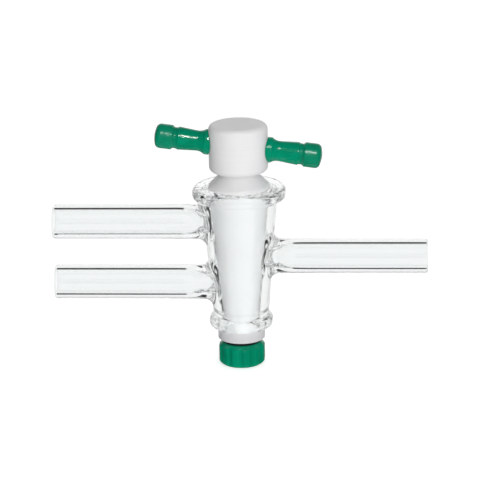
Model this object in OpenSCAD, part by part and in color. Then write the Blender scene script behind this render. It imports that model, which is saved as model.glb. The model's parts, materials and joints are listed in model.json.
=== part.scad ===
// Double-oblique glass stopcock: a tapered glass barrel with two arms on the left and one on the
// right, a PTFE plug with a bar handle, and the washer, ring and nut that hold the plug in.
// Origin: on the plug's axis, at the lock nut's lower face. +Z runs up the plug and +X runs out
// along the single arm.

/* [Arms] */
// Outside diameter of the arm tubes
arm_d = 8; // [6.5:0.5:8.5]
// Wall thickness of the arm tubes
arm_wall = 1.2; // [0.8:0.1:1.4]
// Distance from the plug's axis to the open end of each arm
arm_reach = 44; // [30:1:80]
// Height of the lower left arm's axis above the barrel's lower face
lower_arm_rise = 10.8; // [10:0.1:11.5]
// Height of the right arm's axis above the barrel's lower face
right_arm_rise = 17.2; // [16.5:0.1:18]
// Height of the upper left arm's axis above the barrel's lower face
upper_arm_rise = 25.7; // [25:0.1:26.5]
// Radius of the fillet where each arm is fused to the barrel
fuse_fillet = 1.7; // [1:0.1:2]
// Swelling of a fused arm's sides where its fillet begins
fuse_swell = 0.15; // [0.1:0.05:0.3]
// Radius of the fire-polished edges at the open ends
polish = 0.3; // [0.1:0.05:0.4]
// Diameter of the ports through the barrel's wall and of the plug's oblique bores
port_d = 4; // [2:0.5:4]

/* [Barrel] */
// Length of the glass barrel between its two end faces
barrel_h = 34.4; // [34:0.2:38]
// Wall thickness of the barrel at its top
barrel_top_wall = 1.75; // [1.4:0.05:2.2]
// Wall thickness of the barrel at its foot
barrel_foot_wall = 2.45; // [1.8:0.05:2.8]
// Outside diameter of the top flange
top_flange_d = 22; // [20:0.5:25]
// Thickness of the top flange
top_flange_h = 3; // [2.4:0.1:3.2]
// Outside diameter of the foot flange
foot_flange_d = 15.1; // [14:0.1:17]
// Thickness of the foot flange
foot_flange_h = 3; // [2.4:0.1:3.4]
// Radius of the rounded flange edges
flange_round = 1.15; // [0.6:0.05:1.2]
// Radius of the hollow fillet between a flange and the barrel
flange_fillet = 1; // [0.5:0.1:1.2]

/* [Plug] */
// Diameter of the plug's taper at the barrel's top face
seat_d = 14.55; // [14:0.05:15]
// Length over which the taper's diameter changes by one unit
taper = 5; // [4.8:0.1:6]
// Radial running gap between the plug and the glass
running_gap = 0.05; // [0.02:0.01:0.09]
// Length of taper that stands proud of the barrel's top face
seat_proud = 0.2; // [0.1:0.1:1]
// Diameter of the neck under the head
neck_d = 8.8; // [8:0.1:10]
// Height from the top of the taper to the underside of the head
neck_h = 3.5; // [3.4:0.1:6]
// Diameter of the head
head_d = 13.8; // [12:0.1:16]
// Height of the head
head_h = 11.3; // [9:0.1:14]
// Radius of the head's upper edge
head_round = 1.2; // [0.5:0.1:2]
// Radius of the head's lower edge
head_under_round = 0.9; // [0.3:0.1:1.5]
// Diameter of the threaded tail
tail_d = 6; // [5:0.1:6.4]
// Depth of the tail's end above the nut's lower face
tail_inset = 0.8; // [0.3:0.1:2]

/* [Handle] */
// Length of the bar handle from tip to tip
handle_span = 39.3; // [36:0.1:48]
// Slope of the handle and its cross hole, in degrees, left grip up as the open bore runs
handle_slope = 7.8; // [0:0.1:9]
// Height of the cross hole above the middle of the head
handle_above_mid = 0.35; // [-0.5:0.05:1]
// Diameter of the collar that hugs the head
collar_d = 5.95; // [5.2:0.05:7]
// Thickness of the collar over the head's side
collar_len = 1; // [0.6:0.1:2]
// Gap between the head's side and the collar's hollow face
collar_gap = 0.05; // [0.03:0.01:0.3]
// Diameter of the waist behind the collar
waist_d = 4.75; // [4.3:0.05:5]
// Length of the hollow sweep from the collar down to the waist
waist_len = 1.6; // [1.2:0.1:2.5]
// Diameter of the grip where it meets the groove
grip_d = 5.4; // [4.8:0.05:6]
// Diameter of the end knob
knob_d = 5.75; // [4.8:0.05:6.4]
// Length of the end knob
knob_len = 4.2; // [3:0.1:5]
// Radius of the knob's end edge
knob_round = 1.4; // [0.3:0.1:2]
// Width of the groove between the grip and the knob
groove_w = 1.3; // [0.6:0.1:1.6]
// Depth of that groove
groove_depth = 0.42; // [0.2:0.01:0.6]
// Diameter of the spigots inside the head
spigot_d = 4; // [3.4:0.1:4.4]
// Clearance all round a handle spigot in its hole
spigot_gap = 0.05; // [0.03:0.01:0.1]

/* [Lock nut, ring and washer] */
// Outside diameter of the washer
washer_d = 11.15; // [10:0.1:13]
// Thickness of the washer
washer_h = 2.9; // [2:0.1:4]
// Gap between the washer and the barrel's lower face
washer_gap = 0.05; // [0.03:0.01:0.1]
// Radial clearance of the washer and the ring on the tail
tail_gap = 0.1; // [0.05:0.01:0.2]
// Outside diameter of the squeezed seal ring
ring_d = 9.4; // [8.8:0.1:10]
// Height of the squeezed seal ring
ring_h = 0.95; // [0.6:0.05:1.4]
// Outside diameter of the nut over its flutes
nut_d = 11; // [10.5:0.1:13]
// Height of the nut
nut_h = 5.4; // [4.5:0.1:8]
// Height of the bevel round the nut's top
nut_bevel = 0.9; // [0.4:0.1:1.2]
// Height of the chamfer round the nut's foot
nut_chamfer = 0.6; // [0.3:0.1:1]
// Number of grip flutes
flutes = 12; // [8:1:16]
// Width of a flute at the nut's surface
flute_w = 1.5; // [0.8:0.1:1.6]
// Depth of a flute
flute_depth = 0.35; // [0.2:0.05:0.5]
// Radial gap that stands for the thread between nut and tail
thread_gap = 0.05; // [0.03:0.01:0.1]

/* [Hidden] */
$fn = 96;

arm_r = arm_d / 2;
arm_bore_r = arm_r - arm_wall;
port_r = port_d / 2;

ring_z = nut_h;
washer_z = ring_z + ring_h;
barrel_z = washer_z + washer_h + washer_gap;
barrel_top = barrel_z + barrel_h;
lower_arm_z = barrel_z + lower_arm_rise;
right_arm_z = barrel_z + right_arm_rise;
upper_arm_z = barrel_z + upper_arm_rise;

seat_top = barrel_top + seat_proud;
head_z = seat_top + neck_h;
handle_z = head_z + head_h / 2 + handle_above_mid;
head_r = head_d / 2;
tip_at = handle_span / 2;
pin_d = spigot_d / 2;    // pin that joins the two grips inside the head
pin_depth = head_r / 2;  // how far it runs on either side of the plug's axis

past = 1;       // how far a cutting shape runs past the face that it cuts
arc_steps = 6;  // straight steps in a quarter round

// Radius of the plug's taper at a height
function seat_r(z) = seat_d / 2 - (barrel_top - z) / (2 * taper);

// Outer radius of the barrel between its flanges at a height
function barrel_r(z) = let (up = (z - barrel_z) / barrel_h)
    seat_r(z) + running_gap + barrel_foot_wall + up * (barrel_top_wall - barrel_foot_wall);

// Points on a round of radius r about [x, y], from one angle to another
function arc(x, y, r, from, to) = [
    for (i = [0:arc_steps]) let (a = from + i * (to - from) / arc_steps)
        [x + r * cos(a), y + r * sin(a)]
];

// Turns what is drawn along +Z to run out along +X, or along -X when side is -1
module sideways(side) {
    rotate([0, 90 * side, 0]) children();
}

// Half section of the barrel's outside with its two rounded flanges
module barrel_section() {
    top_r = top_flange_d / 2;
    foot_r = foot_flange_d / 2;
    under_top = barrel_top - top_flange_h;
    over_foot = barrel_z + foot_flange_h;
    polygon(concat(
        [[0, barrel_z]],
        arc(foot_r - flange_round, barrel_z + flange_round, flange_round, -90, 0),
        arc(foot_r - flange_round, over_foot - flange_round, flange_round, 0, 90),
        arc(barrel_r(over_foot) + flange_fillet, over_foot + flange_fillet, flange_fillet, 270, 180),
        arc(barrel_r(under_top) + flange_fillet, under_top - flange_fillet, flange_fillet, 180, 90),
        arc(top_r - flange_round, under_top + flange_round, flange_round, -90, 0),
        arc(top_r - flange_round, barrel_top - flange_round, flange_round, 0, 90),
        [[0, barrel_top]]
    ));
}

// Tapered seat of the plug, opened past both end faces of the barrel
module seat_bore() {
    low = barrel_z - past;
    high = barrel_top + past;
    translate([0, 0, low])
        cylinder(h = high - low, r1 = seat_r(low) + running_gap, r2 = seat_r(high) + running_gap);
}

// Outside of one arm, drawn along +Z from inside the barrel's wall to the polished end
module arm_outside(wall_at) {
    rotate_extrude() polygon(concat(
        [[0, wall_at - arm_wall], [arm_r, wall_at - arm_wall]],
        arc(arm_r - polish, arm_reach - polish, polish, 0, 90),
        [[0, arm_reach]]
    ));
}

// Trumpet mouth that the arm opens into at the barrel, seen from the side
module fuse_trumpet(wall_at) {
    bell_r = arm_r + fuse_fillet;
    rotate_extrude() polygon(concat(
        [[0, 0], [bell_r, 0]],
        arc(bell_r, wall_at + fuse_fillet, fuse_fillet, 270, 185),
        [[0, wall_at + fuse_fillet]]
    ));
}

// Plan of the fused joint: the arm runs into the round barrel with a fillet on each side
module fuse_plan(wall_at) {
    bell_r = arm_r + fuse_fillet;
    along = sqrt(pow(wall_at + fuse_fillet, 2) - pow(bell_r, 2));
    meet = bell_r * wall_at / (wall_at + fuse_fillet);
    difference() {
        translate([0, -meet]) square([along, 2 * meet]);
        for (side = [-1, 1]) translate([along, side * bell_r]) circle(r = fuse_fillet);
    }
    swell_r = arm_r + fuse_swell;
    translate([along - past, -swell_r]) square([fuse_fillet + past, 2 * swell_r]);
}

// Fillet of one fused arm: what the trumpet and the plan have in common
module fuse_joint(side, z) {
    wall_at = barrel_r(z - arm_r);
    reach = arm_r + fuse_fillet + past;
    translate([0, 0, z]) intersection() {
        sideways(side) fuse_trumpet(wall_at);
        rotate(side > 0 ? 0 : 180) translate([0, 0, -reach])
            linear_extrude(2 * reach) fuse_plan(wall_at);
    }
}

// Flow passage of one arm: tube bore, shoulder down to the port, and the port into the seat
module arm_passage(side, z) {
    wall_at = barrel_r(z);
    translate([0, 0, z]) sideways(side) {
        cylinder(h = wall_at, r = port_r);
        rotate_extrude() polygon([
            [0, wall_at - past / 2], [port_r, wall_at - past / 2],
            [arm_bore_r, wall_at + arm_wall], [arm_bore_r, arm_reach - polish],
            [arm_bore_r + polish, arm_reach + past / 10], [0, arm_reach + past / 10]
        ]);
    }
}

module glass_arm(side, z) {
    translate([0, 0, z]) sideways(side) arm_outside(barrel_r(z));
    fuse_joint(side, z);
}

module glass_body() {
    arms = [[-1, lower_arm_z], [1, right_arm_z], [-1, upper_arm_z]];
    color([0.86, 0.93, 0.91, 0.45]) difference() {
        union() {
            rotate_extrude() barrel_section();
            for (arm = arms) glass_arm(arm[0], arm[1]);
        }
        seat_bore();
        for (arm = arms) arm_passage(arm[0], arm[1]);
    }
}

// Half section of the plug: tail, taper, shoulder, neck and head
module plug_section() {
    foot = barrel_z;
    neck_r = neck_d / 2;
    shoulder_h = seat_r(seat_top) - neck_r;
    polygon(concat(
        [
            [0, tail_inset], [tail_d / 2 - polish, tail_inset], [tail_d / 2, tail_inset + polish],
            [tail_d / 2, foot], [seat_r(foot), foot], [seat_r(seat_top), seat_top],
            [neck_r, seat_top + shoulder_h], [neck_r, head_z]
        ],
        arc(head_r - head_under_round, head_z + head_under_round, head_under_round, -90, 0),
        arc(head_r - head_round, head_z + head_h - head_round, head_round, 0, 90),
        [[0, head_z + head_h]]
    ));
}

// One oblique bore, from a height on the plug's left side to a height on its right side
module oblique_bore(left_z, right_z) {
    left = [-seat_r(left_z), left_z];
    right = [seat_r(right_z), right_z];
    run = right - left;
    length = norm(run) + 2 * port_d;
    translate([(left[0] + right[0]) / 2, 0, (left[1] + right[1]) / 2])
        rotate([0, atan2(run[0], run[1]), 0])
            cylinder(h = length, r = port_r, center = true);
}

// Places a handle piece that is drawn along +Z on the cross hole's axis, on one side of the head
module on_handle_axis(side) {
    translate([0, 0, handle_z]) rotate([0, handle_slope, 0]) sideways(side) children();
}

// The upper bore is open from the upper left arm to the right arm. Half a turn of the plug opens the
// lower bore instead, from the lower left arm to the right arm.
module plug() {
    color([0.95, 0.95, 0.94]) difference() {
        rotate_extrude() plug_section();
        oblique_bore(upper_arm_z, right_arm_z);
        oblique_bore(right_arm_z, lower_arm_z);
        on_handle_axis(1) cylinder(h = 2 * head_d, r = spigot_d / 2 + spigot_gap, center = true);
    }
}

// Half section of one grip, from inside the head to the tip
module grip_section() {
    collar_r = collar_d / 2;
    waist_r = waist_d / 2;
    collar_end = head_r + collar_gap + collar_len;
    groove_end = tip_at - knob_len;
    groove_r = knob_d / 2 - groove_depth;
    polygon(concat(
        [[0, head_r - past], [collar_r, head_r - past]],
        [
            for (i = [0:arc_steps]) let (t = i / arc_steps)
                [waist_r + (collar_r - waist_r) * pow(1 - t, 2), collar_end + t * waist_len]
        ],
        [
            [grip_d / 2, groove_end - groove_w], [groove_r, groove_end - groove_w * 3 / 4],
            [groove_r, groove_end - groove_w / 4], [knob_d / 2, groove_end]
        ],
        arc(knob_d / 2 - knob_round, tip_at - knob_round, knob_round, 0, 90),
        [[0, tip_at]]
    ));
}

// One grip in place, with its collar's face hollowed to the head's side
module grip(side) {
    difference() {
        on_handle_axis(side) rotate_extrude() grip_section();
        translate([0, 0, head_z - head_h / 2]) cylinder(h = 2 * head_h, r = head_r + collar_gap);
    }
}

// The left grip's spigot ends in a socket on the plug's axis
module handle_left() {
    color([0.03, 0.5, 0.33]) {
        grip(-1);
        on_handle_axis(-1) difference() {
            cylinder(h = head_r + collar_gap + past / 2, d = spigot_d);
            translate([0, 0, -past]) cylinder(h = pin_depth + past, r = pin_d / 2 + spigot_gap);
        }
    }
}

// The right grip's spigot carries the pin that fills the left one's socket
module handle_right() {
    color([0.03, 0.5, 0.33]) {
        grip(1);
        on_handle_axis(1) {
            cylinder(h = head_r + collar_gap + past / 2, d = spigot_d);
            translate([0, 0, spigot_gap - pin_depth]) cylinder(h = pin_depth, d = pin_d);
        }
    }
}

module washer() {
    color([0.93, 0.93, 0.92]) translate([0, 0, washer_z]) difference() {
        cylinder(h = washer_h, d = washer_d);
        translate([0, 0, -past]) cylinder(h = washer_h + 2 * past, r = tail_d / 2 + tail_gap);
    }
}

// Seal ring squeezed flat between the nut and the washer, with round inner and outer edges
module seal_ring() {
    inner = tail_d / 2 + tail_gap;
    outer = ring_d / 2;
    edge = ring_h / 2;
    color([0.06, 0.06, 0.06]) translate([0, 0, ring_z]) rotate_extrude() polygon(concat(
        arc(outer - edge, edge, edge, -90, 90),
        arc(inner + edge, edge, edge, 90, 270)
    ));
}

// Half section of the nut: chamfered foot, straight side and bevelled top
module nut_section() {
    side = nut_d / 2;
    polygon([
        [0, 0], [side - nut_chamfer, 0], [side, nut_chamfer],
        [side, nut_h - nut_bevel], [side - nut_bevel, nut_h], [0, nut_h]
    ]);
}

module lock_nut() {
    // A round cutter of this radius leaves a flute of the given width and depth
    cutter_r = (pow(flute_w / 2, 2) + pow(flute_depth, 2)) / (2 * flute_depth);
    cutter_at = nut_d / 2 - flute_depth + cutter_r;
    color([0.02, 0.4, 0.27]) difference() {
        rotate_extrude() nut_section();
        translate([0, 0, -past]) cylinder(h = nut_h + 2 * past, r = tail_d / 2 + thread_gap);
        for (i = [0:flutes - 1]) rotate(i * 360 / flutes)
            translate([cutter_at, 0, -past]) cylinder(h = nut_h + 2 * past, r = cutter_r);
    }
}

glass_body();
plug();
handle_left();
handle_right();
washer();
seal_ring();
lock_nut();
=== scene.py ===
"""Dressed model of a double-oblique glass stopcock in a plain white studio.

The fused glass body, the white plug, its bar handle and the washer, ring and nut that hold the
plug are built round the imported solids. Sizes inside the classes are in millimetres, and every
finished mesh is in metres with the plug's axis on the Z axis.
"""

import json
import logging
import math
from dataclasses import dataclass
from enum import Enum
from typing import Callable, Sequence

import bpy
import numpy as np
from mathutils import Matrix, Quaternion, Vector


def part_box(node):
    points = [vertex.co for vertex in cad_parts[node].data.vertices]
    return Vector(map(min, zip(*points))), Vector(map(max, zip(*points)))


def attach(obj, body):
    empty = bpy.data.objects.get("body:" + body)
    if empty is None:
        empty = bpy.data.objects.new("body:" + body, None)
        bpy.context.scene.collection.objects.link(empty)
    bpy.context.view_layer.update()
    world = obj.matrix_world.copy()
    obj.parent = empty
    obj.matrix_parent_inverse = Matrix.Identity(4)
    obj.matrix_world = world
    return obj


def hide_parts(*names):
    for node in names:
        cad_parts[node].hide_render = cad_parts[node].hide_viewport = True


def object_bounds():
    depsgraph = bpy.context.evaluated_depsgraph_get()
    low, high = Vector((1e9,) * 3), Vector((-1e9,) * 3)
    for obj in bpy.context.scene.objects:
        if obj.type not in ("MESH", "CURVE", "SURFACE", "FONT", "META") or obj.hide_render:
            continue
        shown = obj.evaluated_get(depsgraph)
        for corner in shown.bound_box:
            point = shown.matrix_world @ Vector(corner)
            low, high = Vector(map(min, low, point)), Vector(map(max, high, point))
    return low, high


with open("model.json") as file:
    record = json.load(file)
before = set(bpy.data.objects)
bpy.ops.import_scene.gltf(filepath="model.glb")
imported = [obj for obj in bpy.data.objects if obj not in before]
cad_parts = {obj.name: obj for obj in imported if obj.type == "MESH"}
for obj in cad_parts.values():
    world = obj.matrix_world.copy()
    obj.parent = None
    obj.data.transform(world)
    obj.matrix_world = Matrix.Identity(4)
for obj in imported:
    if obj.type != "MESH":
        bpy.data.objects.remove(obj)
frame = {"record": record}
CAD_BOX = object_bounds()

LOG = logging.getLogger("stopcock")
MM = 0.001
Field = Callable[[np.ndarray], np.ndarray]
Profile = Sequence[tuple[float, float]]
Colour = tuple[float, float, float]
Socket = bpy.types.NodeSocket
Outputs = bpy.types.bpy_prop_collection
WHITE: Colour = (1.0, 1.0, 1.0)
BLACK: Colour = (0.0, 0.0, 0.0)


class Side(Enum):
    """The side of the plug's axis that a piece lies on."""

    LEFT = -1
    RIGHT = 1


class Body(Enum):
    """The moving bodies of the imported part."""

    BARREL = "barrel"
    PLUG_SET = "plug_set"


class Slot(Enum):
    """The material slots of the part's record."""

    GLASS = "clear_glass"
    PTFE = "white_ptfe"
    GREEN = "green_plastic"
    RUBBER = "black_rubber"


# ---------------------------------------------------------------- solid fields

def joined(a: np.ndarray, b: np.ndarray, radius: float) -> np.ndarray:
    """Joins two solids, given as signed distances, with a hollow fillet between them."""
    near = np.hypot(np.maximum(radius - a, 0), np.maximum(radius - b, 0))
    return np.maximum(radius, np.minimum(a, b)) - near


def shared(a: np.ndarray, b: np.ndarray, radius: float) -> np.ndarray:
    """Keeps what two solids share, with rounded edges."""
    return -joined(-a, -b, radius)


def disc(rho: np.ndarray, z: np.ndarray, low: float, high: float, radius: float | np.ndarray,
         edge: float) -> np.ndarray:
    """Gives a round disc with rounded rims.

    Args:
        rho: Distances from the disc's axis.
        z: Places along the axis.
        low: Place where the disc starts.
        high: Place where it ends.
        radius: Outer radius, as a number or one for each point.
        edge: Radius of the rounded rims.

    Returns:
        Signed distances to the disc.
    """
    out = rho - (radius - edge)
    up = np.abs(z - (low + high) / 2) - ((high - low) / 2 - edge)
    outer = np.hypot(np.maximum(out, 0), np.maximum(up, 0))
    return np.minimum(np.maximum(out, up), 0) + outer - edge


def waviness(points: np.ndarray, length: float, seed: int, waves: int = 9) -> np.ndarray:
    """Gives a smooth irregular wave, about -1 to 1, as hot-worked glass has.

    Args:
        points: Points as rows of x, y and z.
        length: Typical wave length.
        seed: Picks the waves' directions and phases.
        waves: Number of waves that are added up.

    Returns:
        The wave's value at each point.
    """
    draw = np.random.default_rng(seed)
    total = np.zeros(len(points))
    for _ in range(waves):
        way = draw.normal(size=3)
        way /= np.linalg.norm(way)
        number = 2 * math.pi / (length * draw.uniform(0.7, 1.5))
        total += np.sin(points @ (way * number) + draw.uniform(0, 2 * math.pi))
    return total / math.sqrt(waves)


def grid_lines(marks: Sequence[float], steps: Sequence[float]) -> np.ndarray:
    """Lays grid lines that are close together where a shape has detail.

    Args:
        marks: Rising places at which the spacing changes, ends included.
        steps: Largest spacing between each mark and the next.

    Returns:
        The places of the lines.
    """
    runs = [
        np.linspace(low, high, max(2, math.ceil((high - low) / step) + 1))[:-1]
        for low, high, step in zip(marks[:-1], marks[1:], steps)
    ]
    return np.concatenate(runs + [np.array([marks[-1]])])


@dataclass
class Mesh:
    """Vertices, faces and, where they are known, exact normals."""

    points: np.ndarray
    faces: np.ndarray
    normals: np.ndarray | None = None


@dataclass
class FieldMesher:
    """Turns a signed distance field into an even closed mesh with exact normals."""

    field: Field
    lines: tuple[np.ndarray, np.ndarray, np.ndarray]
    first_steps: int = 3
    passes: int = 3
    pass_steps: int = 2
    probe: float = 0.004
    longest: float = 0.25
    flattest: float = 0.05
    tiny: float = 1e-9

    def slope(self, points: np.ndarray) -> np.ndarray:
        """Measures the field's slope at each point."""
        ends = [(self.field(points + s), self.field(points - s)) for s in np.eye(3) * self.probe]
        return np.stack([high - low for high, low in ends], axis=1) / (2 * self.probe)

    def settle(self, points: np.ndarray, steps: int) -> np.ndarray:
        """Moves points onto the surface where the field is zero.

        Args:
            points: Points near the surface.
            steps: Number of steps.

        Returns:
            The moved points.
        """
        for _ in range(steps):
            slope = self.slope(points)
            size = np.maximum((slope ** 2).sum(axis=1), self.flattest)
            move = (self.field(points) / size)[:, None] * slope
            length = np.linalg.norm(move, axis=1, keepdims=True)
            points = points - move * np.minimum(1, self.longest / np.maximum(length, self.tiny))
        return points

    def crossings(self, values: np.ndarray, axis: int) -> tuple[np.ndarray, ...]:
        """Finds where the surface crosses the grid's edges along one axis.

        Args:
            values: The field's value at each node of the grid.
            axis: The axis that the edges run along.

        Returns:
            For each crossing its place, the numbers of the four cells round its edge, and
            whether the edge starts inside the solid.
        """
        low = np.take(values, range(values.shape[axis] - 1), axis=axis)
        high = np.take(values, range(1, values.shape[axis]), axis=axis)
        at = np.stack(np.nonzero((low < 0) != (high < 0)), axis=1)
        before, after = low[tuple(at.T)], high[tuple(at.T)]
        spot = np.stack([self.lines[i][at[:, i]] for i in range(3)], axis=1)
        step = self.lines[axis][at[:, axis] + 1] - self.lines[axis][at[:, axis]]
        spot[:, axis] += step * before / (before - after)
        cells = []
        for back in ((1, 1), (0, 1), (0, 0), (1, 0)):
            cell = at.copy()
            cell[:, (axis + 1) % 3] -= back[0]
            cell[:, (axis + 2) % 3] -= back[1]
            cells.append(np.ravel_multi_index(tuple(cell.T), tuple(n - 1 for n in values.shape)))
        return spot, np.stack(cells, axis=1), before < 0

    def mesh(self) -> Mesh:
        """Meshes the solid where the field is negative, with one point in each crossed cell.

        Returns:
            The closed mesh with its normals.
        """
        nodes = np.stack(np.meshgrid(*self.lines, indexing="ij"), axis=-1)
        values = self.field(nodes.reshape(-1, 3)).reshape(nodes.shape[:3])
        total = np.zeros((math.prod(n - 1 for n in values.shape), 3))
        count = np.zeros(len(total))
        quads = []
        for axis in range(3):
            spot, cells, inside = self.crossings(values, axis)
            for cell in cells.T:
                np.add.at(total, cell, spot)
                np.add.at(count, cell, 1)
            quads.append(np.where(inside[:, None], cells, cells[:, ::-1]))
        used = np.nonzero(count)[0]
        number = np.full(len(total), -1)
        number[used] = np.arange(len(used))
        faces = number[np.concatenate(quads)]
        points = self.settle(total[used] / count[used, None], self.first_steps)
        for _ in range(self.passes):
            points = self.settle(self.evened(points, faces), self.pass_steps)
        slope = self.slope(points)
        return Mesh(points, faces, slope / np.linalg.norm(slope, axis=1, keepdims=True))

    @staticmethod
    def evened(points: np.ndarray, faces: np.ndarray) -> np.ndarray:
        """Moves each point half way to the middle of its neighbours.

        Args:
            points: The mesh's points.
            faces: Its four-sided faces.

        Returns:
            The moved points.
        """
        total = np.zeros_like(points)
        count = np.zeros(len(points))
        for corner in range(4):
            mate = faces[:, (corner + 1) % 4]
            np.add.at(total, faces[:, corner], points[mate])
            np.add.at(count, faces[:, corner], 1)
        return (points + total / count[:, None]) / 2


# ---------------------------------------------------------------- turned meshes

def quarter(across: float, along: float, radius: float, start: float, end: float,
            steps: int) -> list[tuple[float, float]]:
    """Draws a round of a turned profile between two angles in degrees, 0 pointing outwards."""
    angles = [math.radians(start + (end - start) * i / steps) for i in range(steps + 1)]
    return [(across + radius * math.cos(a), along + radius * math.sin(a)) for a in angles]


def dense(profile: Profile, step: float) -> np.ndarray:
    """Adds points to a profile's long stretches.

    Args:
        profile: Points as (distance from the axis, place along the axis).
        step: Longest stretch that is left.

    Returns:
        The denser profile.
    """
    rows = [np.array(profile[0], float)]
    for start, end in zip(profile[:-1], profile[1:]):
        a, b = np.array(start, float), np.array(end, float)
        parts = max(1, math.ceil(np.linalg.norm(b - a) / step))
        rows += [a + (b - a) * (i + 1) / parts for i in range(parts)]
    return np.array(rows)


def wrapped(rows: int, columns: int, ring: bool) -> np.ndarray:
    """Numbers the faces of a sheet of points that closes on itself sideways.

    Args:
        rows: Number of rows of points.
        columns: Number of points in each row.
        ring: Whether the last row joins the first.

    Returns:
        Four-sided faces.
    """
    row = np.arange(rows if ring else rows - 1)[:, None]
    column = np.arange(columns)[None, :]
    above, beside = (row + 1) % rows, (column + 1) % columns
    corners = [row * columns + column, row * columns + beside,
               above * columns + beside, above * columns + column]
    return np.stack([np.broadcast_to(c, (len(row), columns)).ravel() for c in corners], axis=1)


def turned_ring(profile: Profile, step: float, columns: int) -> Mesh:
    """Turns a closed profile into a ring.

    Args:
        profile: The profile as (radius, height) points, bottom edge first.
        step: Longest stretch of the profile without a point.
        columns: Number of points round the ring.

    Returns:
        The ring's mesh.
    """
    rows = dense(profile + profile[:1], step)[:-1]
    angle = np.linspace(0, 2 * math.pi, columns, endpoint=False)
    x, y = rows[:, :1] * np.cos(angle), rows[:, :1] * np.sin(angle)
    z = np.broadcast_to(rows[:, 1:], x.shape)
    points = np.stack([x, y, z], axis=-1).reshape(-1, 3)
    return Mesh(points, wrapped(len(rows), columns, True))


def closed_ends(points: np.ndarray, faces: np.ndarray, columns: int) -> Mesh:
    """Merges the first and the last row of a turned sheet, which lie on its axis.

    Args:
        points: The sheet's points, row by row.
        faces: Its faces.
        columns: Number of points in each row.

    Returns:
        The closed mesh.
    """
    last = len(points) - columns
    number = np.arange(len(points))
    number[:columns] = 0
    number[last:] = last
    kept, number = np.unique(number, return_inverse=True)
    return Mesh(points[kept], number[faces])


def placed(name: str, data: bpy.types.ID) -> bpy.types.Object:
    """Puts a new object into the scene.

    Args:
        name: The object's name.
        data: Its mesh, lamp or camera.

    Returns:
        The new object.
    """
    item = bpy.data.objects.new(name, data)
    bpy.context.scene.collection.objects.link(item)
    return item


def add_piece(name: str, mesh: Mesh, body: Body, node: str,
              material: bpy.types.Material) -> bpy.types.Object:
    """Makes a finished piece and seats it on its body.

    Args:
        name: The piece's name.
        mesh: Its mesh in millimetres.
        body: The body that it moves with.
        node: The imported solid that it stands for.
        material: Its finish.

    Returns:
        The new object.
    """
    data = bpy.data.meshes.new(name)
    faces = [tuple(dict.fromkeys(face)) for face in mesh.faces.tolist()]
    data.from_pydata((mesh.points * MM).tolist(), [], faces)
    data.shade_smooth()
    if mesh.normals is not None:
        data.normals_split_custom_set_from_vertices(mesh.normals.tolist())
    data.materials.append(material)
    piece = placed(name, data)
    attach(piece, body.value)
    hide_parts(node)
    LOG.info("%s: %d points, %d faces, on %s", name, len(mesh.points), len(faces), body.value)
    return piece


# ---------------------------------------------------------------- materials

class Canvas:
    """Puts nodes in a tree and links them in one call."""

    spread_inputs = ("Value", "From Min", "From Max", "To Min", "To Max")

    def __init__(self, tree: bpy.types.NodeTree) -> None:
        """Starts on an emptied node tree."""
        self.tree = tree
        tree.nodes.clear()

    def put(self, kind: str, inputs: dict[str | int, object] | None = None,
            **settings: object) -> bpy.types.Node:
        """Adds a node.

        Args:
            kind: The node's type, without the leading ShaderNode.
            inputs: A value or another node's output for each named input.
            settings: The node's own settings.

        Returns:
            The new node.
        """
        node = self.tree.nodes.new(kind if kind.startswith("Node") else "ShaderNode" + kind)
        for key, value in settings.items():
            setattr(node, key, value)
        for key, value in (inputs or {}).items():
            if isinstance(value, Socket):
                self.tree.links.new(value, node.inputs[key])
            else:
                node.inputs[key].default_value = value
        return node

    def place(self) -> Socket:
        """Gives the place on the object."""
        return self.put("TexCoord").outputs["Object"]

    def maths(self, what: str, *values: object, clamp: bool = False) -> Socket:
        """Adds one sum and gives its result."""
        node = self.put("Math", dict(enumerate(values)), operation=what, use_clamp=clamp)
        return node.outputs[0]

    def blend(self, share: object, first: object, second: object) -> Socket:
        """Blends two colours and gives the result."""
        ends = [c if isinstance(c, Socket) else (*c, 1) for c in (first, second)]
        return self.put("Mix", {0: share, 6: ends[0], 7: ends[1]}, data_type="RGBA").outputs[2]

    def spread(self, value: object, low: float, high: float, to_low: float = 0.0,
               to_high: float = 1.0) -> Socket:
        """Maps a value's range smoothly onto another and gives the result."""
        named = dict(zip(self.spread_inputs, (value, low, high, to_low, to_high)))
        return self.put("MapRange", named, interpolation_type="SMOOTHSTEP").outputs[0]

    def noise(self, place: Socket, scale: object, detail: float = 2.0,
              **inputs: object) -> Socket:
        """Adds a noise and gives its value."""
        named = {"Vector": place, "Scale": scale, "Detail": detail, **inputs}
        return self.put("TexNoise", named).outputs["Fac"]

    def bump(self, height: Socket, strength: float, distance: float) -> Socket:
        """Adds a bump and gives its normal."""
        named = {"Height": height, "Strength": strength, "Distance": distance}
        return self.put("Bump", named).outputs[0]


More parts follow.
